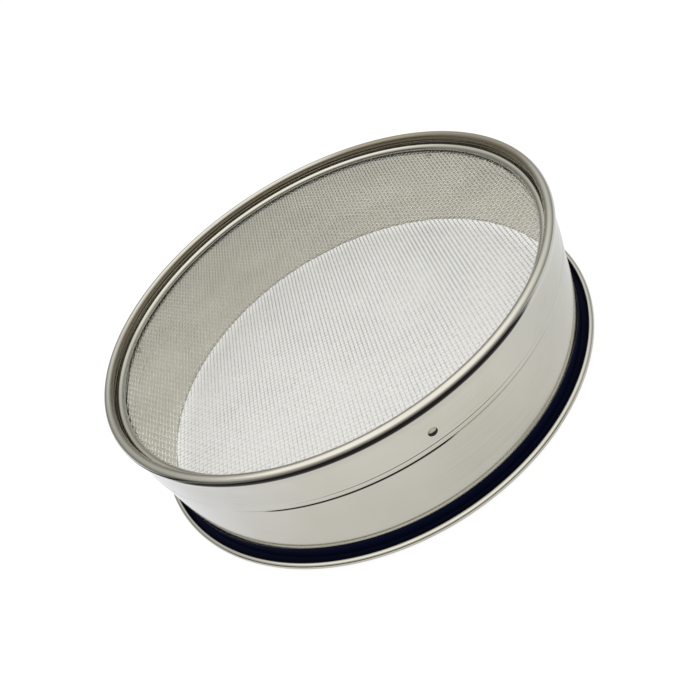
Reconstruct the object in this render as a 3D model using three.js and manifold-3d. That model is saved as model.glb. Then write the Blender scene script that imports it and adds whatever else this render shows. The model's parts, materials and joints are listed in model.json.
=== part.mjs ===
// Flour sieve: a flat woven mesh held in a drum of rolled stainless sheet.
// Millimetres, +Z up. The sieve stands on its foot at z = 0, with the mesh end up.

import * as THREE from 'three';
import { mergeVertices } from 'three/addons/utils/BufferGeometryUtils.js';
import Module from 'manifold-3d';

const wasm = await Module();
wasm.setup();

// Driving sizes of the drum
const HEIGHT = 58.7;
const WALL_RADIUS = 109;
const SHEET = 0.6;
const CLEARANCE = 0.3;

// Rim bead, rolled round a wire at the top of the collar
const RIM_BEAD_RADIUS = 2.2;
const RIM_OVERHANG = 1;
const RIM_NECK_ANGLE = 35;

// Foot, flared out and rolled round a wire at the bottom of the drum
const FOOT_BEAD_RADIUS = 2.1;
const FOOT_OVERHANG = 5.3;
const FOOT_FLARE_ANGLE = 66;

// Collar band round the upper part of the drum
const COLLAR_HEIGHT = 21.5;
const COLLAR_PROUD = 0.1;
const HEM_HEIGHT = 2;
const HEM_PROUD = 0.25;
const HEM_SLOPE = 0.4;
const JOGGLE_HEIGHT = 1;

// Mesh, the ledge under it and the ring on it
const MESH_DEPTH = 8.5;
const MESH_PITCH = 14.4;
const MESH_WIRE_WIDTH = 1.1;
const MESH_WIRE_HEIGHT = 0.8;
const MESH_WEAVE_RISE = 0.3;
const MESH_ANGLE = -7.7;
const MARGIN_WIDTH = 5.2;
const MARGIN_COVER = 0.05;
const MARGIN_BITE = 1;
const LEDGE_WIDTH = 4.9;
const LEDGE_BEND_RADIUS = 1.2;
const RING_DOME_RADIUS = 1.8;
const RING_VALLEY = 1.3;
const RING_BEND = 0.4;

// Rivets that hold the collar to the drum
const RIVET_COUNT = 3;
const RIVET_ANGLE = -86;
const RIVET_DEPTH = 13.9;
const RIVET_SHANK_RADIUS = 0.9;
const RIVET_HEAD_RADIUS = 1.6;
const RIVET_HEAD_HEIGHT = 0.7;
const RIVET_TAIL_RADIUS = 1.5;
const RIVET_TAIL_HEIGHT = 0.5;
const RIVET_EYE_RADIUS = 0.5;
const RIVET_EYE_DEPTH = 0.35;

// Facets: turns of the hoops, steps of the rolled edges, sides of the wires and rivets
const HOOP_SEGMENTS = 60;
const CURL_STEP = 30;
const CURL_TURN = 270;
const FLARE_STEPS = 4;
const NECK_STEPS = 2;
const WIRE_SIDES = 8;
const RIVET_SIDES = 10;
const BEND_STEPS = 2;

const UP = new THREE.Vector3(0, 0, 1);
const { degToRad } = THREE.MathUtils;

/** Point at an angle in degrees on a circle in the (radius, height) plane. */
function onCircle(centre, radius, degrees) {
  const angle = degToRad(degrees);
  return new THREE.Vector2(centre.x + radius * Math.cos(angle), centre.y + radius * Math.sin(angle));
}

/** Reach of a faceted rolled edge from its centre to the middle of an outer facet. */
function curlReach(beadRadius) {
  return (beadRadius - SHEET / 2) * Math.cos(degToRad(CURL_STEP / 2)) + SHEET / 2;
}

/** Radius of the wire that a rolled edge holds with clearance all round. */
function coreRadius(beadRadius) {
  return curlReach(beadRadius) - SHEET - CLEARANCE;
}

/** Middle line of a rolled edge: facets square to the axes, then round to the end of the turn. */
function curlLine(centre, beadRadius, startAngle, sense) {
  const middle = beadRadius - SHEET / 2;
  const first = sense * Math.ceil((sense * startAngle + 1) / CURL_STEP + 0.5) * CURL_STEP - sense * CURL_STEP / 2;
  const points = [onCircle(centre, middle, startAngle)];
  for (let turned = 0; turned <= CURL_TURN; turned += CURL_STEP) {
    points.push(onCircle(centre, middle, first + sense * turned));
  }
  return points;
}

/** Middle line of a flare: a tangent arc from an upright wall that ends at a point at an angle. */
function flareLine(wallRadius, end, endAngle, sense, steps) {
  const radius = (end.x - wallRadius) / (1 - Math.cos(degToRad(endAngle)));
  const startHeight = end.y - sense * radius * Math.sin(degToRad(endAngle));
  const points = [];
  for (let step = 0; step < steps; step += 1) {
    const angle = degToRad(endAngle * step / steps);
    const reach = radius * (1 - Math.cos(angle));
    points.push(new THREE.Vector2(wallRadius + reach, startHeight + sense * radius * Math.sin(angle)));
  }
  return points;
}

/** Sheet profile: the middle line thickened by half the sheet to each side, closed, anticlockwise. */
function sheetProfile(line) {
  const sides = [[], []];
  line.forEach((point, index) => {
    const before = line[Math.max(index - 1, 0)];
    const after = line[Math.min(index + 1, line.length - 1)];
    const into = point.clone().sub(index > 0 ? before : point);
    const out = after.clone().sub(index < line.length - 1 ? point : after);
    const first = (index > 0 ? into : out).normalize();
    const second = (index < line.length - 1 ? out : first.clone()).normalize();
    const bisector = first.clone().add(second).normalize();
    const reach = SHEET / 2 / bisector.dot(first);
    const normal = new THREE.Vector2(bisector.y, -bisector.x).multiplyScalar(reach);
    sides[0].push(point.clone().add(normal));
    sides[1].unshift(point.clone().sub(normal));
  });
  const outline = [...sides[0], ...sides[1]];
  if (THREE.ShapeUtils.area(outline) < 0) {
    outline.reverse();
  }
  return outline;
}

/** Weld a geometry into one closed surface of positions only. */
function weld(geometry) {
  const bare = geometry.clone();
  bare.deleteAttribute('normal');
  bare.deleteAttribute('uv');
  return mergeVertices(bare, 1e-5);
}

/** Hoop round +Z from a closed profile of (radius, height) points. */
function hoop(outline) {
  const turned = new THREE.LatheGeometry([...outline, outline[0].clone()], HOOP_SEGMENTS);
  return weld(turned.rotateX(Math.PI / 2));
}

function toManifold(geometry) {
  const solid = weld(geometry);
  return new wasm.Manifold(new wasm.Mesh({
    numProp: 3,
    vertProperties: new Float32Array(solid.attributes.position.array),
    triVerts: new Uint32Array(solid.index.array),
  }));
}

function fromManifold(solid) {
  const mesh = solid.getMesh();
  const geometry = new THREE.BufferGeometry();
  geometry.setAttribute('position', new THREE.BufferAttribute(new Float32Array(mesh.vertProperties), 3));
  geometry.setIndex(new THREE.BufferAttribute(new Uint32Array(mesh.triVerts), 1));
  return geometry;
}

function cutAll(geometry, cutters) {
  return fromManifold(cutters.reduce((solid, cutter) => solid.subtract(toManifold(cutter)), toManifold(geometry)));
}

function joinAll(geometries) {
  const solids = geometries.map(toManifold);
  return fromManifold(solids.reduce((joined, solid) => joined.add(solid)));
}

// Radii and heights that the pieces share
const collarOuter = WALL_RADIUS + COLLAR_PROUD;
const collarMiddle = collarOuter - SHEET / 2;
const seatOuter = collarOuter - SHEET - CLEARANCE;
const seatMiddle = seatOuter - SHEET / 2;
const wallMiddle = WALL_RADIUS - SHEET / 2;
const rimCentre = new THREE.Vector2(
  WALL_RADIUS + RIM_OVERHANG - curlReach(RIM_BEAD_RADIUS),
  HEIGHT - curlReach(RIM_BEAD_RADIUS),
);
const footCentre = new THREE.Vector2(
  WALL_RADIUS + FOOT_OVERHANG - curlReach(FOOT_BEAD_RADIUS),
  curlReach(FOOT_BEAD_RADIUS),
);
const collarBottom = HEIGHT - COLLAR_HEIGHT;
const meshHeight = HEIGHT - MESH_DEPTH;
const marginHalf = MESH_WIRE_HEIGHT / 2 + MESH_WEAVE_RISE + MARGIN_COVER;
const ledgeHeight = meshHeight - marginHalf - CLEARANCE - SHEET / 2;
const ringFloor = meshHeight + marginHalf + CLEARANCE + SHEET / 2;
const ringTop = HEIGHT - 2 * curlReach(RIM_BEAD_RADIUS) - CLEARANCE;
const marginInner = seatOuter - MARGIN_WIDTH;
const rivetHeight = HEIGHT - RIVET_DEPTH;

/** Angles of the rivets round the drum, in radians. */
function rivetAngles() {
  return Array.from({ length: RIVET_COUNT }, (_, index) => degToRad(RIVET_ANGLE + index * 360 / RIVET_COUNT));
}

/** Hole cutters for the rivets, long enough to pass the collar and the drum wall. */
function rivetHoles() {
  const reach = collarOuter - seatOuter + 4 * SHEET;
  return rivetAngles().map((angle) => {
    const hole = RIVET_SHANK_RADIUS + CLEARANCE;
    const cutter = new THREE.CylinderGeometry(hole, hole, reach, RIVET_SIDES);
    cutter.rotateZ(-Math.PI / 2);
    cutter.translate(seatOuter, 0, 0);
    cutter.rotateZ(angle);
    return cutter.translate(0, 0, rivetHeight);
  });
}

/** Drum: ledge under the mesh, drawn-in seat of the collar, plain wall, flare and rolled foot. */
function drumWall() {
  const bend = new THREE.Vector2(seatMiddle - LEDGE_BEND_RADIUS, ledgeHeight - LEDGE_BEND_RADIUS);
  const line = [new THREE.Vector2(seatOuter - LEDGE_WIDTH, ledgeHeight)];
  for (let step = 0; step <= BEND_STEPS; step += 1) {
    line.push(onCircle(bend, LEDGE_BEND_RADIUS, 90 - 90 * step / BEND_STEPS));
  }
  line.push(new THREE.Vector2(seatMiddle, collarBottom));
  line.push(new THREE.Vector2(wallMiddle, collarBottom - JOGGLE_HEIGHT));
  const curl = curlLine(footCentre, FOOT_BEAD_RADIUS, FOOT_FLARE_ANGLE, -1);
  line.push(...flareLine(wallMiddle, curl[0], FOOT_FLARE_ANGLE, -1, FLARE_STEPS));
  line.push(...curl);
  return cutAll(hoop(sheetProfile(line)), rivetHoles());
}

/** Collar: hemmed lower edge, plain band, neck and the rim bead. */
function collarBand() {
  const line = [
    new THREE.Vector2(collarMiddle + HEM_PROUD, collarBottom),
    new THREE.Vector2(collarMiddle + HEM_PROUD, collarBottom + HEM_HEIGHT - HEM_SLOPE),
    new THREE.Vector2(collarMiddle, collarBottom + HEM_HEIGHT),
  ];
  const curl = curlLine(rimCentre, RIM_BEAD_RADIUS, -RIM_NECK_ANGLE, 1);
  line.push(...flareLine(collarMiddle, curl[0], RIM_NECK_ANGLE, 1, NECK_STEPS));
  line.push(...curl);
  return cutAll(hoop(sheetProfile(line)), rivetHoles());
}

/** Ring on the mesh: rounded inner lip, floor on the margin, and an upstand below the rim bead. */
function meshRing() {
  const domeMiddle = RING_DOME_RADIUS - SHEET / 2;
  const dome = new THREE.Vector2(seatOuter - SHEET - RING_VALLEY - RING_DOME_RADIUS, ringFloor);
  const line = [new THREE.Vector2(dome.x - domeMiddle, ringFloor - SHEET / 2)];
  for (let angle = 180; angle >= 0; angle -= CURL_STEP) {
    line.push(onCircle(dome, domeMiddle, angle));
  }
  line.push(new THREE.Vector2(seatMiddle - RING_BEND, ringFloor));
  line.push(new THREE.Vector2(seatMiddle, ringFloor + RING_BEND));
  line.push(new THREE.Vector2(seatMiddle, ringTop));
  return hoop(sheetProfile(line));
}

/** Wire ring that stiffens a rolled edge. */
function coreWire(centre, beadRadius) {
  const radius = coreRadius(beadRadius);
  const outline = Array.from({ length: WIRE_SIDES }, (_, side) => onCircle(centre, radius, 360 * side / WIRE_SIDES));
  return hoop(outline);
}

/** One wire of the weave: a zigzag strip that passes over and under the wires it crosses. */
function weaveWire(index, set, reach) {
  const offset = index * MESH_PITCH;
  const half = Math.sqrt(reach * reach - offset * offset);
  const crossings = Math.floor((half - MESH_PITCH / 2) / MESH_PITCH);
  const line = [new THREE.Vector2(-half, 0)];
  for (let crossing = -crossings; crossing <= crossings; crossing += 1) {
    const over = (index + crossing + set) % 2 === 0 ? 1 : -1;
    line.push(new THREE.Vector2(crossing * MESH_PITCH, over * MESH_WEAVE_RISE));
  }
  line.push(new THREE.Vector2(half, 0));
  const lift = new THREE.Vector2(0, MESH_WIRE_HEIGHT / 2);
  const upper = line.map((point) => point.clone().add(lift));
  const lower = line.map((point) => point.clone().sub(lift));
  const strip = new THREE.Shape([...lower, ...upper.reverse()]);
  const wire = new THREE.ExtrudeGeometry(strip, { depth: MESH_WIRE_WIDTH, bevelEnabled: false });
  const along = new THREE.Vector3(1, 0, 0).applyAxisAngle(UP, set * Math.PI / 2);
  const across = along.clone().cross(UP);
  wire.translate(0, 0, -MESH_WIRE_WIDTH / 2);
  wire.applyMatrix4(new THREE.Matrix4().makeBasis(along, UP, across));
  return wire.translate(-across.x * offset, -across.y * offset, 0);
}

/** Mesh: two sets of crossing wires inside the pressed margin that the ring and the ledge hold. */
function meshCloth() {
  const reach = marginInner + MARGIN_BITE;
  const margin = hoop([
    new THREE.Vector2(marginInner, -marginHalf),
    new THREE.Vector2(seatOuter, -marginHalf),
    new THREE.Vector2(seatOuter, marginHalf),
    new THREE.Vector2(marginInner, marginHalf),
  ]);
  const count = Math.floor((marginInner - MESH_PITCH / 2) / MESH_PITCH);
  const wires = [];
  for (let index = -count; index <= count; index += 1) {
    wires.push(weaveWire(index, 0, reach), weaveWire(index, 1, reach));
  }
  return joinAll([margin, ...wires]);
}

/** Hollow-headed rivet along +X, with its head outside the collar and its tail inside the drum. */
function rivet() {
  const headBase = collarOuter + CLEARANCE;
  const headTop = headBase + RIVET_HEAD_HEIGHT;
  const tailTop = seatOuter - SHEET - CLEARANCE;
  const outline = [
    new THREE.Vector2(0, tailTop - RIVET_TAIL_HEIGHT),
    new THREE.Vector2(RIVET_TAIL_RADIUS, tailTop - RIVET_TAIL_HEIGHT),
    new THREE.Vector2(RIVET_TAIL_RADIUS, tailTop),
    new THREE.Vector2(RIVET_SHANK_RADIUS, tailTop),
    new THREE.Vector2(RIVET_SHANK_RADIUS, headBase),
    new THREE.Vector2(RIVET_HEAD_RADIUS, headBase),
    new THREE.Vector2((RIVET_HEAD_RADIUS + RIVET_EYE_RADIUS) / 2, headTop),
    new THREE.Vector2(RIVET_EYE_RADIUS, headTop),
    new THREE.Vector2(0, headTop - RIVET_EYE_DEPTH),
  ];
  const turned = new THREE.LatheGeometry(outline, RIVET_SIDES);
  return weld(turned.rotateZ(-Math.PI / 2));
}

function steel(color, roughness) {
  return new THREE.MeshStandardMaterial({ color, roughness, metalness: 1 });
}

function piece(name, geometry, material) {
  const mesh = new THREE.Mesh(geometry, material);
  mesh.name = name;
  return mesh;
}

const sieve = new THREE.Group();
sieve.name = 'sieve';
sieve.add(piece('drum_wall', drumWall(), steel(0xc2bfb3, 0.16)));
sieve.add(piece('foot_wire', coreWire(footCentre, FOOT_BEAD_RADIUS), steel(0x9c9a94, 0.4)));
sieve.add(piece('collar_band', collarBand(), steel(0xc6c3b8, 0.16)));
sieve.add(piece('rim_wire', coreWire(rimCentre, RIM_BEAD_RADIUS), steel(0x9c9a94, 0.4)));
sieve.add(piece('mesh_ring', meshRing(), steel(0xcccac2, 0.2)));

const cloth = piece('mesh_cloth', meshCloth(), steel(0xb8b6ac, 0.35));
cloth.position.z = meshHeight;
cloth.rotation.z = degToRad(MESH_ANGLE);
sieve.add(cloth);

rivetAngles().forEach((angle, index) => {
  const fastener = piece(`collar_rivet_${index + 1}`, rivet(), steel(0xb4b1a6, 0.3));
  fastener.position.z = rivetHeight;
  fastener.rotation.z = angle;
  sieve.add(fastener);
});

export default sieve;
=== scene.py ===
"""Flour sieve, dressed: smooth rolled hoops, a woven wire mesh, steel finishes and a plain studio.

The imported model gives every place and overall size. The classes below add what it can't hold: round
rolled edges, the real pitch of the weave and the finish of each surface. Lengths are in metres unless
a name says otherwise, and profiles are drawn in the (radius, height) plane of the drum.
"""
from __future__ import annotations

import json
import logging
import math
from dataclasses import dataclass, field
from enum import Enum

import bpy
from mathutils import Euler, Matrix, Vector

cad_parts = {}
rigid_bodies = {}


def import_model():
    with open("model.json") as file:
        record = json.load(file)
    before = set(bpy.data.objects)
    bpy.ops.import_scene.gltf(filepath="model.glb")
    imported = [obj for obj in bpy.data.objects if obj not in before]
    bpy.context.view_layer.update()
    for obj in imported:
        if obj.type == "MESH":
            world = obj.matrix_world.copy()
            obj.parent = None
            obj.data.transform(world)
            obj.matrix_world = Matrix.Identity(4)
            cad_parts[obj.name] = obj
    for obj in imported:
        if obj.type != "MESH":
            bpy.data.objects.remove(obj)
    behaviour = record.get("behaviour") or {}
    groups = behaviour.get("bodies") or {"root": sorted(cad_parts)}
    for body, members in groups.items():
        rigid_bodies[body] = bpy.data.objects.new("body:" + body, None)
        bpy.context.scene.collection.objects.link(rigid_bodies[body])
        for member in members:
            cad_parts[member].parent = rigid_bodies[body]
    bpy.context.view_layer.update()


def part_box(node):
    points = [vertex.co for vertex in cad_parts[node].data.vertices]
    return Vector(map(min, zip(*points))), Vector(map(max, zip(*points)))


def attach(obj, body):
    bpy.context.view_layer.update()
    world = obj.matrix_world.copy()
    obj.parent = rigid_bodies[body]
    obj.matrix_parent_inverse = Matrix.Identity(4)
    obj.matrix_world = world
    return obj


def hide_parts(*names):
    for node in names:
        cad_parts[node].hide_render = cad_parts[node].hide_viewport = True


LOG = logging.getLogger("sieve")
MM = 0.001
BODY = "root"
FULL_TURN = 2 * math.pi
HAIR = 0.002 * MM
SAME_POINT = 0.01 * MM
HOOP_SEGMENTS = 288
ARC_STEP = math.radians(9)
LEAST_MITRE = 0.5
LEVEL = (1.0, 1.0, 0.0)
WHITE = (1, 1, 1, 1)

Colour = tuple[float, float, float, float]
Triple = tuple[float, float, float]
Span = tuple[float, float]
Socket = bpy.types.NodeSocket
Material = bpy.types.Material
Piece = bpy.types.Object


class Mark(Enum):
    """What a place on a hoop carries: its value is the name of the mesh attribute."""

    WEAR = "wear"
    POLISH = "polish"
    # painted shade: near-black in gaps, creases, under the rim bead and under rivet heads
    GRIME = "grime"
    # painted brown shade under the beads, on the lip's upstand and inside the foot
    TARNISH = "tarnish"
    # dark band painted in the groove above the foot, for its shade and dark reflection
    LACQUER = "lacquer"


@dataclass(frozen=True)
class Stretch:
    """A stretch of a hoop that fades out at its ends."""

    bearing: float  # angle round the hoop of its middle
    spread: float  # half the angle that it covers
    fade: float  # angle over which it fades at each end

    @classmethod
    def degrees(cls, *angles: float) -> Stretch:
        """Make a stretch from its three angles in degrees."""
        return cls(*map(math.radians, angles))

    def share(self, turn: float) -> float:
        """Strength from 0 to 1 at an angle round the hoop."""
        away = abs(math.remainder(turn - self.bearing, FULL_TURN))
        return min(1.0, max(0.0, (self.spread - away) / self.fade))


@dataclass(frozen=True)
class Spot:
    """A line round a hoop that is worn or polished, or that carries painted shade."""

    mark: Mark  # what it carries
    place: Vector  # radius and height of its middle
    reach: float  # distance at which it has faded out
    stretch: Stretch | None = None  # stretch of the hoop that it covers, or None for the whole hoop
    amount: float = 1.0  # greatest strength

    def strength(self, point: Vector, turn: float) -> float:
        """Strength from 0 to 1 at a point of the outline and an angle round the hoop."""
        near = self.amount * max(0.0, 1.0 - (point - self.place).length / self.reach)
        return near * self.stretch.share(turn) if self.stretch else near


@dataclass(frozen=True)
class Flare:
    """A bend from an upright wall and a cone from there to a point, all tangent."""

    wall: float  # radius of the wall's middle line
    end: Vector  # last point of the flare
    angle: float  # angle that the sheet has turned by there
    sense: int  # 1 to flare upwards and -1 to flare downwards
    bend: float = math.inf  # largest radius of the bend, at the middle of the sheet

    @property
    def radius(self) -> float:
        """Radius of the bend at the middle of the sheet."""
        return min(self.bend, (self.end.x - self.wall) / (1 - math.cos(self.angle)))

    @property
    def bend_end(self) -> Vector:
        """Point where the bend ends and the cone begins."""
        across = self.end.x - self.wall - self.radius * (1 - math.cos(self.angle))
        return self.end - Vector((across, self.sense * across / math.tan(self.angle)))

    @property
    def centre(self) -> Vector:
        """Centre of the bend."""
        rise = self.sense * self.radius * math.sin(self.angle)
        return Vector((self.wall + self.radius, self.bend_end.y - rise))

    def depth(self, point: Vector) -> float:
        """Level distance of a point from the wall and the bend, positive on the hollow side.

        Args:
            point: Radius and height of the point.

        Returns:
            The distance, which is infinite past the end of the flare.
        """
        if (point.y - self.end.y) * self.sense > 0:
            return math.inf
        drop = min(self.radius, max(0.0, (point.y - self.centre.y) * self.sense))
        return point.x - self.centre.x + math.sqrt(self.radius ** 2 - drop ** 2)


@dataclass(frozen=True)
class FlareBand:
    """A dark band painted in the hollow of the foot's flare, standing for the shade and dark reflection
    there.
    """

    mark: Mark  # what it carries
    flare: Flare  # the flare that it lies on
    depth: float  # distance from the sheet's middle line that still counts as its face
    top: float  # height of the band's upper edge where it is lowest
    swell: float  # height that the edge gains a quarter turn further on
    bearing: float  # angle round the hoop at which the edge is lowest
    soft: float = 4.0 * MM  # distance over which the mark rises from 0 to 1 across that edge

    def strength(self, point: Vector, turn: float) -> float:
        """Strength at a point of the hoop, which is 0.5 on the band's upper edge.

        Args:
            point: Radius and height of the point.
            turn: Angle of the point round the hoop.

        Returns:
            Strength from 0 to 1.
        """
        depth = self.flare.depth(point)
        on_land = point.y < self.flare.end.y + self.depth
        if depth <= 0.0 or point.x > self.flare.end.x or not (depth < self.depth or on_land):
            return 0.0
        edge = self.top + self.swell * math.sin(turn - self.bearing) ** 2
        return min(1.0, max(0.0, 0.5 + (edge - point.y) / self.soft))


@dataclass
class SheetLine:
    """Middle line of a bent sheet in the (radius, height) plane."""

    thickness: float  # thickness of the sheet
    points: list[Vector] = field(default_factory=list)  # points of the line, in order

    def to(self, radius: float, height: float, parts: int = 1) -> None:
        """Draw a straight stretch to a point.

        Args:
            radius: Radius of the end point.
            height: Height of the end point.
            parts: Number of equal parts that the stretch is cut into.
        """
        end = Vector((radius, height))
        start = self.points[-1] if self.points else end
        self.points += [start.lerp(end, part / parts) for part in range(1, parts + 1)]

    def arc(self, centre: Vector, radius: float, start: float, end: float) -> None:
        """Draw an arc between two angles, which may turn either way.

        Args:
            centre: Centre of the arc.
            radius: Radius of the arc.
            start: First angle in radians, from the outward direction, upwards.
            end: Last angle in radians.
        """
        steps = max(3, math.ceil(abs(end - start) / ARC_STEP))
        for step in range(steps + 1):
            angle = start + (end - start) * step / steps
            point = centre + radius * Vector((math.cos(angle), math.sin(angle)))
            if not self.points or (point - self.points[-1]).length > SAME_POINT:
                self.points.append(point)

    def flare(self, flare: Flare) -> None:
        """Draw the wall up to a flare and then its bend and its cone.

        Args:
            flare: The flare to draw.
        """
        self.to(flare.wall, flare.centre.y, parts=12)
        self.arc(flare.centre, flare.radius, math.pi, math.pi - flare.sense * flare.angle)
        if (flare.end - flare.bend_end).length > SAME_POINT:
            self.to(flare.end.x, flare.end.y, parts=5)

    def outline(self) -> list[Vector]:
        """Closed outline of the sheet, with round edges at both ends.

        Returns:
            Points of the outline, anticlockwise.
        """
        last = len(self.points) - 1
        right, left = [], []
        for index, point in enumerate(self.points):
            before = (point - self.points[index - 1]).normalized() if index else None
            after = (self.points[index + 1] - point).normalized() if index < last else None
            along = ((before or after) + (after or before)).normalized()
            mitre = max(LEAST_MITRE, along.dot(before or after))
            offset = Vector((along.y, -along.x)) * (self.thickness / 2 / mitre)
            right.append(point + offset)
            left.append(point - offset)
        first_end = self._round_end(left[0], right[0])
        last_end = self._round_end(right[-1], left[-1])
        outline = right + last_end + left[::-1] + first_end
        sides = zip(outline, outline[1:] + outline[:1])
        area = sum(a.x * b.y - b.x * a.y for a, b in sides)
        return outline if area > 0 else outline[::-1]

    @staticmethod
    def _round_end(start: Vector, end: Vector, steps: int = 4) -> list[Vector]:
        """Half circle from one side of the sheet to the other.

        Args:
            start: Where it begins.
            end: Where it ends.
            steps: Steps that it is cut into.

        Returns:
            Its points, without the two ends.
        """
        middle = (start + end) / 2
        arm = start - middle
        turned = Vector((-arm.y, arm.x))
        angles = [math.pi * step / steps for step in range(1, steps)]
        return [middle + arm * math.cos(angle) + turned * math.sin(angle) for angle in angles]


def steps_round(segments: int) -> list[float]:
    """Angles of equal steps round an axis."""
    return [FULL_TURN * segment / segments for segment in range(segments)]


def turned_faces(count: int, segments: int, closed: bool = True) -> list[tuple[int, ...]]:
    """Faces between the turned copies of an outline.

    Args:
        count: Points of the outline.
        segments: Steps round the axis.
        closed: Whether the outline's last point is joined to its first.

    Returns:
        The faces, as numbers of points.
    """
    faces = []
    for segment in range(segments):
        here = segment * count
        there = (segment + 1) % segments * count
        for index in range(count if closed else count - 1):
            following = (index + 1) % count
            faces.append((here + index, there + index, there + following, here + following))
    return faces


def write_mark(mesh: bpy.types.Mesh, mark: Mark, values: list[float]) -> None:
    """Write the strength of a mark at each point of a mesh."""
    layer = mesh.attributes.new(mark.value, "FLOAT", "POINT")
    layer.data.foreach_set("value", values)


def add_object(name: str, data: bpy.types.ID) -> Piece:
    """Add an object to the scene.

    Args:
        name: Name of the new object.
        data: Its mesh, lamp or camera.

    Returns:
        The new object.
    """
    made = bpy.data.objects.new(name, data)
    bpy.context.scene.collection.objects.link(made)
    return made


def revolve(name: str, outline: list[Vector], spots: list[Spot | FlareBand]) -> Piece:
    """Turn a closed outline round the Z axis into a smooth closed piece.

    Args:
        name: Name of the new piece.
        outline: Closed anticlockwise outline in the (radius, height) plane.
        spots: Marked places, written to the mesh as attributes.

    Returns:
        The new piece.
    """
    places = [(point, turn) for turn in steps_round(HOOP_SEGMENTS) for point in outline]
    vertices = [(point.x * math.cos(turn), point.x * math.sin(turn), point.y) for point, turn in places]
    mesh = bpy.data.meshes.new(name)
    mesh.from_pydata(vertices, [], turned_faces(len(outline), HOOP_SEGMENTS))
    mesh.shade_smooth()
    for mark in Mark:
        marked = [spot for spot in spots if spot.mark is mark]
        strengths = [max((spot.strength(*place) for spot in marked), default=0.0) for place in places]
        write_mark(mesh, mark, strengths)
    return add_object(name, mesh)


def dress(piece: Piece, material: Material, nodes: list[str]) -> None:
    """Give a piece its finish, attach it to the body, hide the nodes that it replaces and log them.

    Args:
        piece: The finished piece.
        material: Its material.
        nodes: Names of the nodes that the piece replaces.
    """
    piece.data.materials.clear()
    piece.data.materials.append(material)
    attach(piece, BODY)
    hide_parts(*nodes)
    LOG.info("%s stands for %s, %d faces", piece.name, ", ".join(nodes), len(piece.data.polygons))


class NodeBoard:
    """A node tree, with short calls to add and join nodes."""

    def __init__(self, tree: bpy.types.NodeTree) -> None:
        """Take over a tree."""
        self.tree = tree

    def feed(self, target: Socket, value: object) -> None:
        """Link a socket to a target, or set the target to a plain value.

        Args:
            target: Input to feed.
            value: Socket or plain value.
        """
        if isinstance(value, Socket):
            self.tree.links.new(value, target)
        else:
            target.default_value = value

    def node(self, kind: str, inputs: dict | None = None, **settings: object) -> bpy.types.Node:
        """Add a node and feed it.

        Args:
            kind: Type name of the node.
            inputs: Sockets or plain values by the name or number of the input.
            **settings: Properties to set on the node first.

        Returns:
            The new node.
        """
        made = self.tree.nodes.new(kind)
        for key, value in settings.items():
            setattr(made, key, value)
        for key, value in (inputs or {}).items():
            self.feed(made.inputs[key], value)
        return made

    def out(self, kind: str, inputs: dict | None = None, **settings: object) -> Socket:
        """Add a node and feed it, and return its first output."""
        return self.node(kind, inputs, **settings).outputs[0]

    def math(self, operation: str, *values: object) -> Socket:
        """Result of a Math node on sockets or numbers."""
        return self.out("ShaderNodeMath", dict(enumerate(values)), operation=operation)


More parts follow.
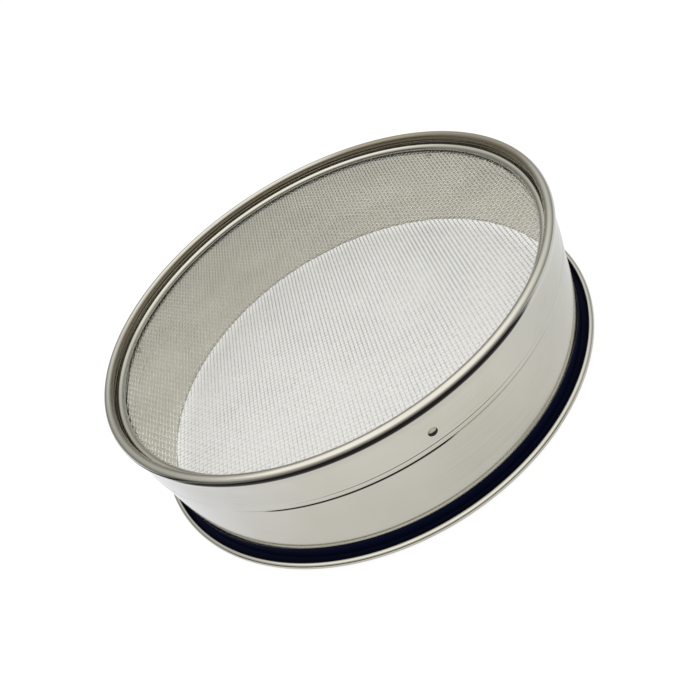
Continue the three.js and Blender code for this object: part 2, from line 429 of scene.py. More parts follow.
class ShaderBoard(NodeBoard):
    """The node tree of a material or of the room."""

    def __init__(self, owner: Material | bpy.types.World, output: str) -> None:
        """Clear the tree and add its output.

        Args:
            owner: The material or world.
            output: Type name of its output node.
        """
        owner.use_nodes = True
        super().__init__(owner.node_tree)
        self.tree.nodes.clear()
        self.owner = owner
        self.output = self.tree.nodes.new(output)

    @classmethod
    def material(cls, name: str) -> ShaderBoard:
        """Start a new material."""
        return cls(bpy.data.materials.new(name), "ShaderNodeOutputMaterial")

    @classmethod
    def room(cls, name: str) -> ShaderBoard:
        """Start a new world."""
        return cls(bpy.data.worlds.new(name), "ShaderNodeOutputWorld")

    def coordinates(self, kind: str) -> Socket:
        """Texture coordinates of a kind, such as Object."""
        return self.node("ShaderNodeTexCoord").outputs[kind]

    def vector(self, operation: str, *values: object) -> Socket:
        """Result of a Vector Math node on sockets or vectors."""
        made = self.node("ShaderNodeVectorMath", dict(enumerate(values)), operation=operation)
        return made.outputs["Value" if operation in ("LENGTH", "DOT_PRODUCT") else "Vector"]

    def scaled(self, vector: Socket, factor: Socket) -> Socket:
        """A vector or a colour times a factor."""
        return self.out("ShaderNodeVectorMath", {0: vector, "Scale": factor}, operation="SCALE")

    def parts(self, vector: Socket) -> list[Socket]:
        """Split a vector into its three values."""
        return list(self.node("ShaderNodeSeparateXYZ", {0: vector}).outputs)

    def noise(self, vector: Socket, scale: float, detail: float) -> Socket:
        """Grey value of a noise texture."""
        inputs = {"Vector": vector, "Scale": scale, "Detail": detail}
        return self.node("ShaderNodeTexNoise", inputs).outputs["Fac"]

    def spread(self, value: Socket, source: Span, target: Span = (0.0, 1.0), smooth: bool = False) -> Socket:
        """Map a value from one range to another, clamped.

        Args:
            value: The value to map.
            source: Lowest and highest value of the source range.
            target: Values that those become.
            smooth: Whether the ends are eased.

        Returns:
            The mapped value.
        """
        names = ("Value", "From Min", "From Max", "To Min", "To Max")
        inputs = dict(zip(names, (value, *source, *target)))
        kind = "SMOOTHSTEP" if smooth else "LINEAR"
        return self.out("ShaderNodeMapRange", inputs, interpolation_type=kind)

    def blend(self, factor: object, first: object, second: object) -> Socket:
        """Mix two colours by a factor."""
        return self.node("ShaderNodeMix", {0: factor, 6: first, 7: second}, data_type="RGBA").outputs[2]

    def layer(self, factor: Socket, first: Socket, second: Socket) -> Socket:
        """Mix two shaders by a factor."""
        return self.out("ShaderNodeMixShader", {0: factor, 1: first, 2: second})

    def glow(self, kind: str, colour: object, strength: object = 1.0) -> Socket:
        """A shader with light of its own, of the kind for a surface or for the room."""
        return self.out(kind, {"Color": colour, "Strength": strength})

    def attribute(self, mark: Mark) -> Socket:
        """Read a mark that a hoop carries."""
        return self.node("ShaderNodeAttribute", attribute_name=mark.value).outputs["Fac"]

    def bump(self, height: Socket, depth: float, below: Socket | None = None) -> Socket:
        """Add a bump over another normal.

        Args:
            height: Height of the relief, from 0 to 1.
            depth: Depth of the relief in metres.
            below: Normal that it is laid on, or None.

        Returns:
            The bumped normal.
        """
        inputs = {"Distance": depth, "Height": height}
        if below is not None:
            inputs["Normal"] = below
        return self.out("ShaderNodeBump", inputs)

    def facing(self, vector: Socket, bearing: float, soft: Span) -> Socket:
        """How far a direction or a place lies on one side, seen from above.

        Args:
            vector: Direction or place.
            bearing: Bearing of the side's middle.
            soft: Cosines between which the side begins.

        Returns:
            1 on that side and 0 elsewhere.
        """
        ahead = self.vector("NORMALIZE", self.vector("MULTIPLY", vector, LEVEL))
        side = (math.cos(bearing), math.sin(bearing), 0.0)
        return self.spread(self.vector("DOT_PRODUCT", ahead, side), soft, smooth=True)

    def surface(self, shader: Socket) -> Material | bpy.types.World:
        """End the tree in a shader, and return its material or world."""
        self.feed(self.output.inputs["Surface"], shader)
        return self.owner

    def principled(self, inputs: dict[str, object]) -> Material:
        """End the tree in a Principled shader, and return its material."""
        return self.surface(self.out("ShaderNodeBsdfPrincipled", inputs))


@dataclass(frozen=True)
class PolishedSheet:
    """Stainless sheet: satin walls, polished beads, turning marks and smears, with painted shade, painted
    brown shade and a dark band painted in the foot's groove.

    A span holds the two values of a noise or a mark between which something begins.
    """

    name: str
    bright: Colour = (0.575, 0.562, 0.51, 1)  # clean steel
    dull: Colour = (0.51, 0.495, 0.44, 1)  # smeared steel
    # brown colour of the painted shade under beads
    tarnish: Colour = (0.30, 0.267, 0.205, 1)
    grime: Colour = (0.014, 0.012, 0.011, 1)  # near-black painted shade in gaps, creases and under beads
    lacquer: Colour = (0.004, 0.006, 0.022, 1)  # dark navy band painted in the groove above the foot, for its shade and dark reflection
    smooth: float = 0.09  # roughness of the polished beads
    satin: float = 0.10  # roughness of the walls
    wear: float = 0.15  # roughness that wear and smears add at most
    smear_wear: float = 0.45  # share of that which smears add
    brown_shade_rough: float = 0.2  # added where brown shade is painted
    groove_dark_rough: float = 0.5
    gloss: float = 0.03  # specular level of the painted dark band and the painted shade
    mark_depth: float = 0.002 * MM  # turning marks
    mark_across: float = 2600.0  # scale across their run
    mark_along: float = 22.0  # scale along their run
    mark_span: Span = (0.35, 0.65)  # where smears get stronger
    mark_least: float = 0.35  # smears where the marks are faintest
    dent_depth: float = 0.16 * MM  # slow waviness of the sheet
    dent_scale: float = 14.0
    smear_scale: float = 26.0
    smear_span: Span = (0.42, 0.72)
    fleck_scale: float = 240.0  # flecks that wear leaves
    polish_span: Span = (0.2, 0.5)  # satin to polish
    brown_shade_span: Span = (0.2, 0.8)  # painted brown shade
    shade_span: Span = (0.15, 0.6)  # painted shade
    groove_dark_span: Span = (0.46, 0.54)  # painted dark band

    def build(self) -> Material:
        """Build the material.

        Returns:
            The finished material.
        """
        board = ShaderBoard.material(self.name)
        place = board.coordinates("Object")
        marks = self._turning_marks(board, place)
        dents = board.noise(place, self.dent_scale, detail=1.0)
        flecks = board.noise(place, self.fleck_scale, detail=3.0)
        smears = board.spread(board.noise(place, self.smear_scale, detail=4.0), self.smear_span)
        streaks = board.math("MULTIPLY", smears, board.spread(marks, self.mark_span, (self.mark_least, 1.0)))
        # Painted shade: brown shade under beads, near-black shade in gaps and creases, and a dark navy band
        # in the foot's groove.
        brown_shade_mask = board.spread(board.attribute(Mark.TARNISH), self.brown_shade_span, smooth=True)
        shade_mask = board.spread(board.attribute(Mark.GRIME), self.shade_span, smooth=True)
        groove_dark_mask = board.spread(board.attribute(Mark.LACQUER), self.groove_dark_span)
        steel_with_brown_shade = board.blend(brown_shade_mask, board.blend(streaks, self.bright, self.dull), self.tarnish)
        shaded_steel = board.blend(shade_mask, steel_with_brown_shade, self.grime)
        wear = board.math("MULTIPLY", board.attribute(Mark.WEAR), flecks)
        worn = board.math("MAXIMUM", board.math("MULTIPLY", streaks, self.smear_wear), wear)
        polish = board.attribute(Mark.POLISH)
        clean_rough = board.spread(polish, self.polish_span, (self.satin, self.smooth), smooth=True)
        worn_rough = board.math("MULTIPLY_ADD", worn, self.wear, clean_rough)
        metal_rough = board.math("MULTIPLY_ADD", brown_shade_mask, self.brown_shade_rough, worn_rough)
        gap = board.math("MULTIPLY", board.math("SUBTRACT", self.groove_dark_rough, metal_rough), groove_dark_mask)
        return board.principled({
            "Metallic": board.math("SUBTRACT", 1.0, board.math("MAXIMUM", groove_dark_mask, shade_mask)),
            "Specular IOR Level": self.gloss,
            "Base Color": board.blend(groove_dark_mask, shaded_steel, self.lacquer),
            "Roughness": board.math("ADD", metal_rough, gap),
            "Normal": board.bump(marks, self.mark_depth, board.bump(dents, self.dent_depth)),
        })

    def _turning_marks(self, board: ShaderBoard, place: Socket) -> Socket:
        """Fine marks that run round the drum.

        Args:
            board: The material's nodes.
            place: Object coordinates.

        Returns:
            Grey value of the marks.
        """
        x, y, height = board.parts(place)
        radius = board.vector("LENGTH", board.vector("MULTIPLY", place, LEVEL))
        across = board.math("MULTIPLY", board.math("ADD", radius, height), self.mark_across)
        along = [board.math("MULTIPLY", axis, self.mark_along) for axis in (x, y)]
        together = board.out("ShaderNodeCombineXYZ", dict(enumerate((*along, across))))
        return board.noise(together, scale=1.0, detail=4.0)


@dataclass(frozen=True)
class DrawnWire:
    """Drawn steel wire or rivet steel, with a satin, slightly uneven surface, shade painted along a lean,
    and painted shade under rivet heads.
    """

    name: str
    bright: Colour
    dull: Colour  # in its duller stretches, and where the lean paints shade
    # colour of the shade painted under rivet heads
    grime: Colour = (0.02, 0.018, 0.015, 1)
    shade_lean: Triple = (0.0, 0.0, 0.0)  # direction in which shade is painted on it, and by how much for each metre
    metal: float = 1.0  # share that mirrors as metal, the rest being a dull skin
    smooth: float = 0.36  # least roughness
    rough: float = 0.5  # greatest roughness
    gloss: float = 0.1  # specular level of the dull skin and the painted shade
    grain: float = 420.0  # scale of the unevenness
    slow: float = 35.0  # scale of the slow unevenness
    relief: float = 0.006 * MM  # depth of the unevenness
    tone_span: Span = (0.2, 0.8)  # bright to dull
    rough_span: Span = (0.38, 0.62)  # smooth to rough
    shade_span: Span = (0.25, 0.6)  # where painted shade begins

    def build(self) -> Material:
        """Build the material.

        Returns:
            The finished material.
        """
        board = ShaderBoard.material(self.name)
        place = board.coordinates("Object")
        grain = board.noise(place, self.grain, detail=2.0)
        both = board.math("ADD", grain, board.noise(place, self.slow, detail=2.0))
        uneven = board.math("MULTIPLY", both, 0.5)
        # Shade is painted along the lean, on top of the uneven tone.
        tone_and_shade = board.math("ADD", uneven, board.vector("DOT_PRODUCT", place, self.shade_lean))
        wire_tone = board.blend(board.spread(tone_and_shade, self.tone_span), self.bright, self.dull)
        shade_mask = board.spread(board.attribute(Mark.GRIME), self.shade_span, smooth=True)
        return board.principled({
            "Metallic": board.spread(shade_mask, (0.0, 1.0), (self.metal, 0.0)),
            "Specular IOR Level": self.gloss,
            "Base Color": board.blend(shade_mask, wire_tone, self.grime),
            "Roughness": board.spread(uneven, self.rough_span, (self.smooth, self.rough)),
            "Normal": board.bump(grain, self.relief),
        })


@dataclass
class RolledEdge:
    """A bead rolled round a wire."""

    centre: Vector  # radius and height of the wire's middle
    wire: float  # radius of the wire
    reach: float  # distance from the middle to the outside of the bead
    sides: int = 20  # sides of the wire

    @classmethod
    def round_node(cls, node: str, outer: float) -> RolledEdge:
        """Read a rolled edge from the node of its wire.

        Args:
            node: Name of the wire's node.
            outer: Radius to which the bead reaches.

        Returns:
            The rolled edge.
        """
        low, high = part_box(node)
        wire = (high.z - low.z) / 2
        centre = Vector((high.x - wire, (high.z + low.z) / 2))
        return cls(centre, wire, outer - centre.x)

    def at(self, angle: float, distance: float) -> Vector:
        """Point at an angle and a distance from the wire's middle."""
        return self.centre + distance * Vector((math.cos(angle), math.sin(angle)))

    def core(self, name: str) -> Piece:
        """Build the wire ring inside the bead."""
        outline = [self.at(angle, self.wire) for angle in steps_round(self.sides)]
        return revolve(name, outline, [])


@dataclass
class Drum:
    """Drum of rolled sheet: mesh ledge, seat of the collar, wall, flare and rolled foot."""

    sheet: float = 0.6 * MM  # thickness
    wall_radius: float = 109.0 * MM  # outside of the plain wall
    seat_radius: float = 108.2 * MM  # outside of the drawn-in part under the collar
    ledge_width: float = 4.9 * MM  # under the mesh
    ledge_bend: float = 1.2 * MM  # radius at the middle of the sheet
    joggle: float = 0.4 * MM  # height over which the wall steps out below the collar
    joggle_cover: float = 0.1 * MM  # height of that step's start above the collar's lower edge
    flare_angle: float = math.radians(90)  # by which the wall turns at the foot
    flare_bend: float = 0.9 * MM  # radius at the middle of the sheet
    bead: float = 1.5 * MM  # outer radius of the rolled foot
    bead_play: float = 0.1 * MM  # clearance of the wire in it
    curl_end: float = math.radians(135)  # angle at which it ends, after it has turned under the wire and up
    band_top: float = 6.8 * MM  # lowest height of the upper edge of the dark band painted in the groove
    band_swell: float = 3.6 * MM  # height that this edge gains a quarter turn further on
    band_bearing: float = math.radians(-85)  # where the edge is lowest
    band_depth: float = 0.75  # share of the sheet from its middle line that counts as the band's face
    line_height: float = 8.5 * MM  # fine line of painted shade above the band
    edge_height: float = 0.9 * MM  # line of painted brown shade inside the lower edge
    fine_below_seam: float = 1.0 * MM  # height of the finely cut stretch below the step
    fine_above_line: float = 0.6 * MM  # height above the fine line at which the wall is cut finely
    gap_drop: float = 0.15 * MM  # distance of the painted shade below the step
    gap: Stretch = Stretch.degrees(-102.5, 22, 5)  # stretch where shade is painted in a dark line under the collar's lower edge

    def foot(self) -> RolledEdge:
        """Place the rolled foot on the floor, at the outside of the drum.

        Returns:
            The rolled foot.
        """
        low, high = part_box("drum_wall")
        centre = Vector((high.x - self.bead - HAIR, low.z + self.bead + HAIR))
        return RolledEdge(centre, self.bead - self.sheet - self.bead_play, self.bead)

    def build(self) -> Piece:
        """Build the drum's mesh.

        Returns:
            The new piece.
        """
        _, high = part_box("drum_wall")
        foot = self.foot()
        half = self.sheet / 2
        seat = self.seat_radius - half
        wall = self.wall_radius - half
        curl = foot.reach - half
        curl_start = self.flare_angle - math.pi
        bend = Vector((seat - self.ledge_bend, high.z - half - self.ledge_bend))
        flare = Flare(wall, foot.at(curl_start, curl), self.flare_angle, -1, self.flare_bend)
        step_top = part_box("collar_band")[0].z + self.joggle_cover
        step_end = step_top - self.joggle
        line = SheetLine(self.sheet)
        line.to(self.seat_radius - self.ledge_width, high.z - half)
        line.arc(bend, self.ledge_bend, math.pi / 2, 0.0)
        line.to(seat, step_top, parts=6)
        line.to(wall, step_end, parts=2)
        line.to(wall, step_end - self.fine_below_seam, parts=5)
        line.to(wall, self.line_height + self.fine_above_line, parts=10)
        line.flare(flare)
        line.arc(foot.centre, curl, curl_start, self.curl_end)
        outside = foot.centre + Vector((foot.reach, 0))
        underside = Vector((foot.centre.x, 0))
        gap = Vector((self.wall_radius, step_end - self.gap_drop))
        lower_edge = Vector((self.wall_radius - self.sheet, self.edge_height))
        fine_line = Vector((self.wall_radius, self.line_height))
        face = self.band_depth * self.sheet
        spots = [
            Spot(Mark.WEAR, outside, reach=2.0 * MM),
            Spot(Mark.WEAR, underside, reach=2.2 * MM),
            Spot(Mark.POLISH, foot.centre, reach=2 * foot.reach),
            # painted shade: a dark line under the collar's lower edge
            Spot(Mark.GRIME, gap, reach=0.9 * MM, stretch=self.gap),
            # painted brown shade inside the lower edge, where the wall meets the floor
            Spot(Mark.TARNISH, lower_edge, reach=3.0 * MM, amount=0.8),
            # painted shade: a faint dark line above the band
            Spot(Mark.GRIME, fine_line, reach=0.4 * MM, amount=0.36),
            # painted shade and reflection: the dark band in the foot's groove
            FlareBand(Mark.LACQUER, flare, face, self.band_top, self.band_swell, self.band_bearing),
        ]
        return revolve("drum_shell", line.outline(), spots)


@dataclass
class Collar:
    """Collar band with a hemmed lower edge and the rim bead rolled at its top."""

    sheet: float = 0.6 * MM  # thickness of the sheet
    outer_radius: float = 109.1 * MM  # outer radius of the band
    hem_height: float = 2.5 * MM  # height of the hem
    hem_proud: float = 0.15 * MM  # distance that the hem stands out
    hem_slope: float = 0.58 * MM  # height over which the hem steps out
    neck_angle: float = math.radians(22)  # angle that the sheet turns by below the bead
    curl_end: float = math.radians(255)  # angle at which the bead ends
    neck: Stretch = Stretch.degrees(-98, 44, 10)  # stretch where shade is painted in the neck below the bead
    shade_stretch: Stretch = Stretch.degrees(26, 60, 30)  # stretch where brown shade is painted all over the bead, for its darker reflection

    def rim(self) -> RolledEdge:
        """Place the rim bead round its wire."""
        return RolledEdge.round_node("rim_wire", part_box("collar_band")[1].x)

    def build(self) -> Piece:
        """Build the collar's mesh.

        Returns:
            The new piece.
        """
        low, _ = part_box("collar_band")
        rim = self.rim()
        half = self.sheet / 2
        middle = self.outer_radius - half
        hem = middle + self.hem_proud
        curl = rim.reach - half
        line = SheetLine(self.sheet)
        line.to(hem, low.z + half)
        line.to(hem, low.z + self.hem_height - self.hem_slope, parts=3)
        line.to(middle, low.z + self.hem_height, parts=3)
        line.flare(Flare(middle, rim.at(-self.neck_angle, curl), self.neck_angle, 1))
        line.arc(rim.centre, curl, -self.neck_angle, self.curl_end)
        top = rim.centre + Vector((0, rim.reach))
        outside, inside, above = (rim.at(math.radians(angle), rim.reach) for angle in (-6, 190, 130))
        spots = [
            Spot(Mark.WEAR, top, reach=1.8 * MM),
            Spot(Mark.POLISH, rim.centre, reach=2 * rim.reach),
            # painted shade in the neck below the rim bead, at the front
            Spot(Mark.GRIME, outside, reach=2.2 * MM, stretch=self.neck),
            # painted brown shade on the bead's inner underside
            Spot(Mark.TARNISH, inside, reach=3.6 * MM),
            # painted brown shade over the whole bead, for its darker reflection on that stretch
            Spot(Mark.TARNISH, above, reach=4.2 * MM, stretch=self.shade_stretch, amount=0.85),
        ]
        return revolve("collar_shell", line.outline(), spots)


@dataclass
class MeshLip:
    """Rounded ring on the margin of the mesh, with an upstand below the rim bead."""

    sheet: float = 0.6 * MM  # thickness of the sheet
    dome_radius: float = 2.2 * MM  # outer radius of the rounded lip
    dome_end: float = 0.18 * math.pi  # angle at which the dome's round part ends
    valley: float = 0.5 * MM  # clear width between the lip and the upstand
    bend: float = 0.4 * MM  # radius of the bend into the upstand, at the middle of the sheet
    valley_shade: Stretch = Stretch.degrees(125, 125, 20)  # stretch where shade is painted in the valley

    def build(self) -> Piece:
        """Build the ring's mesh.

        Returns:
            The new piece.
        """
        low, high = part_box("mesh_ring")
        half = self.sheet / 2
        stand = high.x - half
        floor = low.z + half
        dome = Vector((high.x - self.sheet - self.valley - self.dome_radius, floor))
        corner = Vector((stand - self.bend, floor + self.bend))
        line = SheetLine(self.sheet)
        line.to(dome.x - self.dome_radius + half, floor)
        line.arc(dome, self.dome_radius - half, math.pi, self.dome_end)
        line.to(dome.x + self.dome_radius, floor)
        line.arc(corner, self.bend, -math.pi / 2, 0.0)
        line.to(stand, high.z - half, parts=4)
        top = dome + Vector((0, self.dome_radius))
        valley = Vector((stand - half - self.valley / 2, floor))
        upstand = Vector((stand - half, high.z))
        spots = [
            Spot(Mark.WEAR, top, reach=1.2 * MM),
            Spot(Mark.POLISH, dome, reach=2 * self.dome_radius),
            # painted shade in the valley under the rim bead
            Spot(Mark.GRIME, valley, reach=0.6 * MM, stretch=self.valley_shade),
            # painted brown shade on the upstand, in the shade of the rim bead
            Spot(Mark.TARNISH, upstand, reach=2.4 * MM, amount=0.5),
        ]
        return revolve("mesh_lip", line.outline(), spots)


class NodeBench(NodeBoard):
    """A Geometry Nodes tree with named inputs."""

    def __init__(self, name: str) -> None:
        """Start a tree that takes and gives a geometry.

        Args:
            name: Name of the new tree.
        """
        super().__init__(bpy.data.node_groups.new(name, "GeometryNodeTree"))
        for way in ("OUTPUT", "INPUT"):
            self.tree.interface.new_socket("Geometry", in_out=way, socket_type="NodeSocketGeometry")
        self.values: dict[str, object] = {}
        self.source = self.tree.nodes.new("NodeGroupInput")
        self.result = self.tree.nodes.new("NodeGroupOutput")

    def size(self, name: str, kind: str, value: object) -> Socket:
        """Add a named input.

        Args:
            name: Name of the input.
            kind: Short name of its socket type, such as Float or Int.
            value: Value that the modifier gets.

        Returns:
            The socket that holds it inside the tree.
        """
        made = self.tree.interface.new_socket(name, in_out="INPUT", socket_type=f"NodeSocket{kind}")
        self.values[made.identifier] = value
        return self.source.outputs[name]

    def vector(self, x: object = 0.0, y: object = 0.0, z: object = 0.0) -> Socket:
        """Join three values into a vector."""
        return self.out("ShaderNodeCombineXYZ", {"X": x, "Y": y, "Z": z})

    def finish(self, geometry: Socket, material: Socket) -> None:
        """End the tree in real geometry with its material.

        Args:
            geometry: The made geometry.
            material: Socket of the material.
        """
        real = self.out("GeometryNodeRealizeInstances", {"Geometry": geometry})
        painted = self.out("GeometryNodeSetMaterial", {"Geometry": real, "Material": material})
        self.feed(self.result.inputs[0], painted)

    def run(self, name: str, start: bpy.types.Mesh) -> Piece:
        """Run the tree on a mesh and keep the result as a plain mesh.

        Args:
            name: Name of the new piece.
            start: Mesh that the tree starts from.

        Returns:
            The new piece, with no modifier.
        """
        piece = add_object(name, start)
        modifier = piece.modifiers.new(name, "NODES")
        modifier.node_group = self.tree
        for identifier, value in self.values.items():
            modifier[identifier] = value
        graph = bpy.context.evaluated_depsgraph_get()
        made = bpy.data.meshes.new_from_object(piece.evaluated_get(graph))
        piece.modifiers.remove(modifier)
        piece.data = made
        made.name = name
        made.shade_smooth()
        return piece


class Lay(Enum):
    """The two sets of wires of the weave: how far each is turned, where it starts, and its diameter."""

    WEFT = (0.0, 1.0, 0.31 * MM)
    WARP = (math.pi / 2, -1.0, 0.46 * MM)


@dataclass
class WovenMesh:
    """Plain weave of fine wires, clipped to a disc."""

    pitch: float = 1.72 * MM  # distance between wires
    reach: float = 105.4 * MM  # radius at which the wires end, under the lip
    turn: float = math.radians(-8.7)  # angle of the weave round the drum
    sides: int = 4  # sides of a wire

    def build(self, lay: Lay, material: Material) -> Piece:
        """Build one set of wires. Crossing wires touch, so each swings by a quarter of both diameters.

        Args:
            lay: Which set.
            material: Finish of the wire.

        Returns:
            The new piece.
        """
        low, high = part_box("mesh_cloth")
        angle, sense, wire = lay.value
        swing = sum(each.value[2] for each in Lay) / 4
        half_count = math.floor(self.reach / self.pitch)
        name = lay.name.lower()
        bench = NodeBench(f"{name}_weave")
        pitch = bench.size("Pitch", "Float", self.pitch)
        count = bench.size("Wires", "Int", 2 * half_count + 1)
        steps = bench.size("Points along", "Int", 4 * half_count + 1)
        reach = bench.size("Reach", "Float", self.reach)
        thick = bench.size("Wire radius", "Float", wire / 2)
        rise = bench.size("Rise", "Float", sense * swing)
        turn = bench.size("Turn", "Float", self.turn + angle)
        level = bench.size("Height", "Float", (low.z + high.z) / 2)
        finish = bench.size("Finish", "Material", material)
        edge = bench.math("MULTIPLY", pitch, -float(half_count))
        step = bench.math("MULTIPLY", pitch, 0.5)
        across = {"Count": count, "Start Location": bench.vector(y=edge), "Offset": bench.vector(y=pitch)}
        along = {"Count": steps, "Start Location": bench.vector(x=edge), "Offset": bench.vector(x=step)}
        starts, line = (bench.out("GeometryNodeMeshLine", inputs) for inputs in (across, along))
        rows = bench.out("GeometryNodeInstanceOnPoints", {"Points": starts, "Instance": line})
        loose = bench.out("GeometryNodeRealizeInstances", {"Geometry": rows})
        place = bench.out("GeometryNodeInputPosition")
        x, y, _ = bench.node("ShaderNodeSeparateXYZ", {0: place}).outputs
        phase = bench.math("MULTIPLY", bench.math("DIVIDE", bench.math("ADD", x, y), pitch), math.pi)
        wave = bench.math("MULTIPLY", bench.math("COSINE", phase), rise)
        waved = bench.out("GeometryNodeSetPosition", {"Geometry": loose, "Offset": bench.vector(z=wave)})
        squares = [bench.math("MULTIPLY", axis, axis) for axis in (x, y)]
        away = bench.math("SQRT", bench.math("ADD", *squares))
        outside = bench.math("GREATER_THAN", away, reach)
        disc = bench.out("GeometryNodeDeleteGeometry", {"Geometry": waved, "Selection": outside})
        runs = bench.out("GeometryNodeMeshToCurve", {"Mesh": disc})
        ring = bench.out("GeometryNodeCurvePrimitiveCircle", {"Resolution": self.sides, "Radius": thick})
        tube = {"Curve": runs, "Profile Curve": ring, "Fill Caps": True}
        wires = bench.out("GeometryNodeCurveToMesh", tube)
        move = {"Geometry": wires, "Translation": bench.vector(z=level), "Rotation": bench.vector(z=turn)}
        bench.finish(bench.out("GeometryNodeTransform", move), finish)
        return bench.run(f"{name}_wires", bpy.data.meshes.new(f"{name}_start"))


@dataclass
class CollarRivets:
    """Rivets with sloping heads round the collar, all from one turned rivet."""

    nodes: tuple[str, ...] = ("collar_rivet_1", "collar_rivet_2", "collar_rivet_3")
    play: float = 0.25 * MM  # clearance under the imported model's heads, closed up here
    head: float = 1.9 * MM  # radius
    head_face: float = 1.15 * MM  # radius of the flat face on the sloping head
    head_edge: float = 0.04 * MM  # height of the edges that end the slope
    head_height: float = 0.75 * MM
    grip: float = 1.5 * MM  # distance from the head to the tail
    shank: float = 0.9 * MM  # radius
    tail: float = 1.5 * MM  # radius inside the drum
    tail_height: float = 0.5 * MM
    shade_middle: float = 1.2  # strength of the shade painted at the middle of the head, which falls off upwards
    segments: int = 32  # steps round a rivet

    def build(self, material: Material) -> Piece:
        """Build all the rivets as one piece.

        Args:
            material: Finish of the rivets.

        Returns:
            The new piece.
        """
        low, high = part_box(self.nodes[0])
        middle = (low + high) / 2
        bearing = math.atan2(middle.y, middle.x)
        out = Vector((math.cos(bearing), math.sin(bearing), 0.0))
        tip = max(vertex.co.dot(out) for vertex in bpy.data.objects[self.nodes[0]].data.vertices)
        start = self._turned_rivet(tip - self.play)
        bench = NodeBench("rivets_round_collar")
        count = bench.size("Count", "Int", len(self.nodes))
        first = bench.size("First bearing", "Float", bearing)
        level = bench.size("Height", "Float", middle.z)
        finish = bench.size("Finish", "Material", material)
        places = bench.out("GeometryNodeMeshLine", {"Count": count, "Offset": (0.0, 0.0, 0.0)})
        index = bench.out("GeometryNodeInputIndex")
        share = bench.math("DIVIDE", bench.math("MULTIPLY", index, FULL_TURN), count)
        turn = bench.vector(z=bench.math("ADD", first, share))
        rivet = bench.source.outputs["Geometry"]
        spin = {"Points": places, "Instance": rivet, "Rotation": turn}
        spun = bench.out("GeometryNodeInstanceOnPoints", spin)
        lift = {"Geometry": spun, "Translation": bench.vector(z=level)}
        bench.finish(bench.out("GeometryNodeTransform", lift), finish)
        return bench.run("collar_rivets", start)

    def _turned_rivet(self, tip: float) -> bpy.types.Mesh:
        """Turn one rivet that points along +X, with shade painted on the lower side of its head.

        Args:
            tip: Distance of the top of its head from the drum's axis.

        Returns:
            Its mesh.
        """
        base = tip - self.head_height
        tail = base - self.grip
        tail_end = tail - self.tail_height
        outline = [(self.tail, tail_end), (self.tail, tail), (self.shank, tail)]
        outline += [(self.shank, base), (self.head, base), (self.head, base + self.head_edge)]
        outline += [(self.head_face, tip - self.head_edge), (self.head_face - self.head_edge, tip)]
        vertices = [
            (along, side * math.cos(turn), side * math.sin(turn))
            for turn in steps_round(self.segments)
            for side, along in outline
        ]
        count = len(outline)
        tail_middle = len(vertices)
        faces = turned_faces(count, self.segments, closed=False)
        for here in range(0, tail_middle, count):
            there = (here + count) % tail_middle
            faces.append((here, tail_middle, there))
            faces.append((there + count - 1, tail_middle + 1, here + count - 1))
        vertices += [(tail_end, 0.0, 0.0), (tip, 0.0, 0.0)]
        mesh = bpy.data.meshes.new("one_rivet")
        mesh.from_pydata(vertices, [], faces)
        # painted shade on the lower side of the head
        grime = [
            self.shade_middle - 2 * z / self.head if along >= base else 0.0
            for along, _, z in vertices
        ]
        write_mark(mesh, Mark.GRIME, grime)
        return mesh


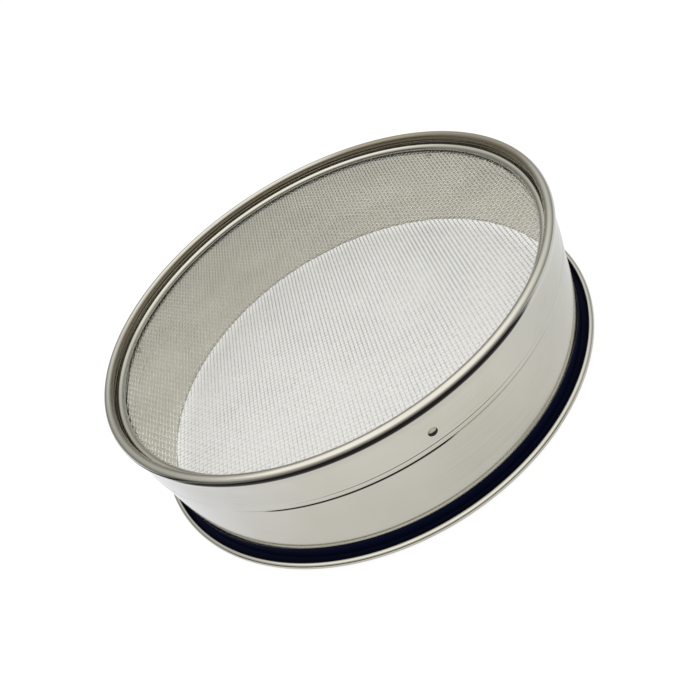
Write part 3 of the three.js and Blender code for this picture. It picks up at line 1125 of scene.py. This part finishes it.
@dataclass
class Studio:
    """Pale floor, soft light and the camera of the photograph.

    Colours of the floor and the room, but for floor_matt, are those that mirrors show. An edge holds two
    radii, and heights hold two upward shares of a direction, between which a change takes place.
    """

    camera_place: Triple = (0.0, -255.7 * MM, 210.0 * MM)
    look_down: float = math.radians(38.42)
    heading: float = math.radians(0.48)  # to the left of straight ahead
    roll: float = math.radians(-32.29)  # of the picture
    lens_mm: float = 33.27
    sensor_mm: float = 36.0
    near_clip: float = 0.01
    floor_half: float = 6.0  # half its side
    floor_drop: float = 0.05 * MM  # below the foot
    floor_matt: Colour = (0.9, 0.9, 0.89, 1)  # under a lamp
    floor_glow: float = 1.12  # strength of its own white
    floor_white: float = 0.78  # share of that white outside the drum
    floor_white_inside: float = 0.46  # share of that white inside the drum, which paints shade there and lets the real shade show
    floor_light: Colour = (1.01, 1.0, 0.965, 1)  # in front of the drum
    floor_left: Colour = (1.05, 1.06, 1.11, 1)
    floor_right: Colour = (0.91, 0.925, 0.915, 1)
    floor_contact_shadow: float = 0.86  # painted contact shadow: share of these colours close to the foot
    floor_shade: Colour = (0.74, 0.715, 0.645, 1)  # inside the drum
    white_edge: Span = (100 * MM, 112 * MM)  # where the share of white changes
    shade_edge: Span = (100 * MM, 114 * MM)  # where the mirrored floor changes
    contact_shadow_edge: Span = (115 * MM, 160 * MM)  # where the floor close to the foot ends
    dim_edge: Span = (190 * MM, 215 * MM)  # where the dim floor in front begins
    side_edge: Span = (60 * MM, 125 * MM)  # distances to the side where left and right begin
    front: float = -1.92  # bearing of the dim side
    front_soft: Span = (0.07, 0.28)  # cosines between which the dim side begins
    room_level: float = 0.8  # strength of the plain light
    room_left: Colour = (0.62, 0.61, 0.58, 1)
    room_right: Colour = (0.85, 0.84, 0.81, 1)
    room_sides: Span = (-0.5, 0.5)  # sideways shares of a direction between which left becomes right
    room_rise: Span = (0.5, 1.25)  # share of these colours low down and high up
    rise_heights: Span = (0.3, 0.7)
    room_top: Colour = (1.5, 1.48, 1.42, 1)  # overhead
    top_heights: Span = (0.70, 0.88)
    room_dark: Colour = (0.016, 0.016, 0.022, 1)  # dim side at floor level
    room_dusk: Colour = (0.16, 0.135, 0.105, 1)  # dim side further up
    dusk_heights: Span = (0.0, 0.5)
    dim_heights: Span = (math.sin(math.radians(12)), math.sin(math.radians(30)))  # where the dim side ends
    lamp_power: float = 4.0
    lamp_size: float = 0.9
    lamp_place: Triple = (-0.15, 0.25, 1.1)

    def build(self) -> None:
        """Build the floor, the light and the camera."""
        self._floor()
        self._room()
        self._lamp()
        self._camera()
        bpy.context.scene.view_settings.view_transform = "Standard"

    def _floor(self) -> None:
        """Lay the pale floor just under the foot, dim in mirrors where it lies far in front."""
        signs = ((-1, -1), (1, -1), (1, 1), (-1, 1))
        corners = [(x * self.floor_half, y * self.floor_half, -self.floor_drop) for x, y in signs]
        mesh = bpy.data.meshes.new("floor")
        mesh.from_pydata(corners, [], [(0, 1, 2, 3)])
        board = ShaderBoard.material("pale_floor")
        path = board.node("ShaderNodeLightPath").outputs
        place = board.coordinates("Object")
        away = board.vector("LENGTH", place)
        side = board.parts(place)[0]
        leftward = board.spread(side, [-edge for edge in self.side_edge], smooth=True)
        rightward = board.spread(side, self.side_edge, smooth=True)
        front_and_left = board.blend(leftward, self.floor_light, self.floor_left)
        light = board.blend(rightward, front_and_left, self.floor_right)
        contact_shadow = board.spread(away, self.contact_shadow_edge, (self.floor_contact_shadow, 1.0))
        outside = board.spread(away, self.shade_edge, smooth=True)
        near = board.blend(outside, self.floor_shade, board.scaled(light, contact_shadow))
        beyond = board.spread(away, self.dim_edge, smooth=True)
        dim = board.math("MULTIPLY", beyond, board.facing(place, self.front, self.front_soft))
        mirrored = board.glow("ShaderNodeEmission", board.blend(dim, near, self.room_dark))
        matt = board.out("ShaderNodeBsdfDiffuse", {"Color": self.floor_matt})
        white = board.glow("ShaderNodeEmission", WHITE, self.floor_glow)
        white_share = board.spread(away, self.white_edge, (self.floor_white_inside, self.floor_white))
        seen_share = board.math("MULTIPLY", path["Is Camera Ray"], white_share)
        seen = board.layer(seen_share, matt, white)
        mesh.materials.append(board.surface(board.layer(path["Is Glossy Ray"], seen, mirrored)))
        add_object("floor", mesh)

    def _room(self) -> None:
        """Make the room: plain white, but for mirrors dim low in front and bright overhead."""
        board = ShaderBoard.room("studio_room")
        path = board.node("ShaderNodeLightPath").outputs
        direction = board.coordinates("Generated")
        side, _, height = board.parts(direction)
        rightward = board.spread(side, self.room_sides, smooth=True)
        sides = board.blend(rightward, self.room_left, self.room_right)
        walls = board.scaled(sides, board.spread(height, self.rise_heights, self.room_rise))
        lit = board.blend(board.spread(height, self.top_heights, smooth=True), walls, self.room_top)
        dusk = board.blend(board.spread(height, self.dusk_heights), self.room_dark, self.room_dusk)
        low = board.spread(height, self.dim_heights, (1.0, 0.0), smooth=True)
        dim = board.math("MULTIPLY", low, board.facing(direction, self.front, self.front_soft))
        mirrored = board.glow("ShaderNodeBackground", board.blend(dim, lit, dusk))
        strength = board.spread(path["Is Camera Ray"], (0.0, 1.0), (self.room_level, 1.0))
        plain = board.glow("ShaderNodeBackground", WHITE, strength)
        bpy.context.scene.world = board.surface(board.layer(path["Is Glossy Ray"], plain, mirrored))

    def _lamp(self) -> None:
        """Hang the soft lamp overhead."""
        data = bpy.data.lights.new("softbox", "AREA")
        data.shape = "DISK"
        data.size = self.lamp_size
        data.energy = self.lamp_power
        lamp = add_object("softbox", data)
        lamp.location = self.lamp_place
        lamp.rotation_euler = (-lamp.location).to_track_quat("-Z", "Y").to_euler()
        lamp.visible_glossy = False

    def _camera(self) -> None:
        """Stand the camera where the photograph was taken."""
        data = bpy.data.cameras.new("photo_camera")
        data.sensor_width = self.sensor_mm
        data.lens = self.lens_mm
        data.clip_start = self.near_clip
        camera = add_object("photo_camera", data)
        tilt = Euler((math.pi / 2 - self.look_down, 0.0, self.heading)).to_matrix()
        turned = tilt @ Matrix.Rotation(self.roll, 3, "Z")
        camera.matrix_world = Matrix.Translation(self.camera_place) @ turned.to_4x4()
        bpy.context.scene.camera = camera


def main() -> None:
    """Load the frame, dress every piece and set the studio."""
    logging.basicConfig(level=logging.INFO, format="%(name)s: %(message)s")
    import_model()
    sheet = PolishedSheet("polished_sheet").build()
    # The warp and the weft are the same wire painted as lit and shaded copies: darker warp, lighter weft,
    # each painted darker along its lean.
    warp = DrawnWire("warp_wire", (0.92, 0.92, 0.88, 1), (0.38, 0.38, 0.355, 1), shade_lean=(1.3, 3.3, 0.0))
    weft = DrawnWire("weft_wire", (0.93, 0.93, 0.90, 1), (0.64, 0.64, 0.61, 1), shade_lean=(-1.0, 2.6, 0.0))
    wires = {Lay.WARP: warp.build(), Lay.WEFT: weft.build()}
    core = DrawnWire("core_wire", (0.42, 0.41, 0.39, 1), (0.30, 0.29, 0.28, 1)).build()
    worn = DrawnWire("rivet_steel", (0.62, 0.58, 0.46, 1), (0.55, 0.51, 0.40, 1), metal=0.3, smooth=0.5)
    rivet = worn.build()
    drum = Drum()
    dress(drum.build(), sheet, ["drum_wall"])
    collar = Collar()
    dress(collar.build(), sheet, ["collar_band"])
    dress(MeshLip().build(), sheet, ["mesh_ring"])
    weave = WovenMesh()
    for lay in Lay:
        dress(weave.build(lay, wires[lay]), wires[lay], ["mesh_cloth"])
    rivets = CollarRivets()
    dress(rivets.build(rivet), rivet, list(rivets.nodes))
    dress(collar.rim().core("rim_core"), core, ["rim_wire"])
    dress(drum.foot().core("foot_core"), core, ["foot_wire"])
    Studio().build()


if __name__ == "__main__":
    main()
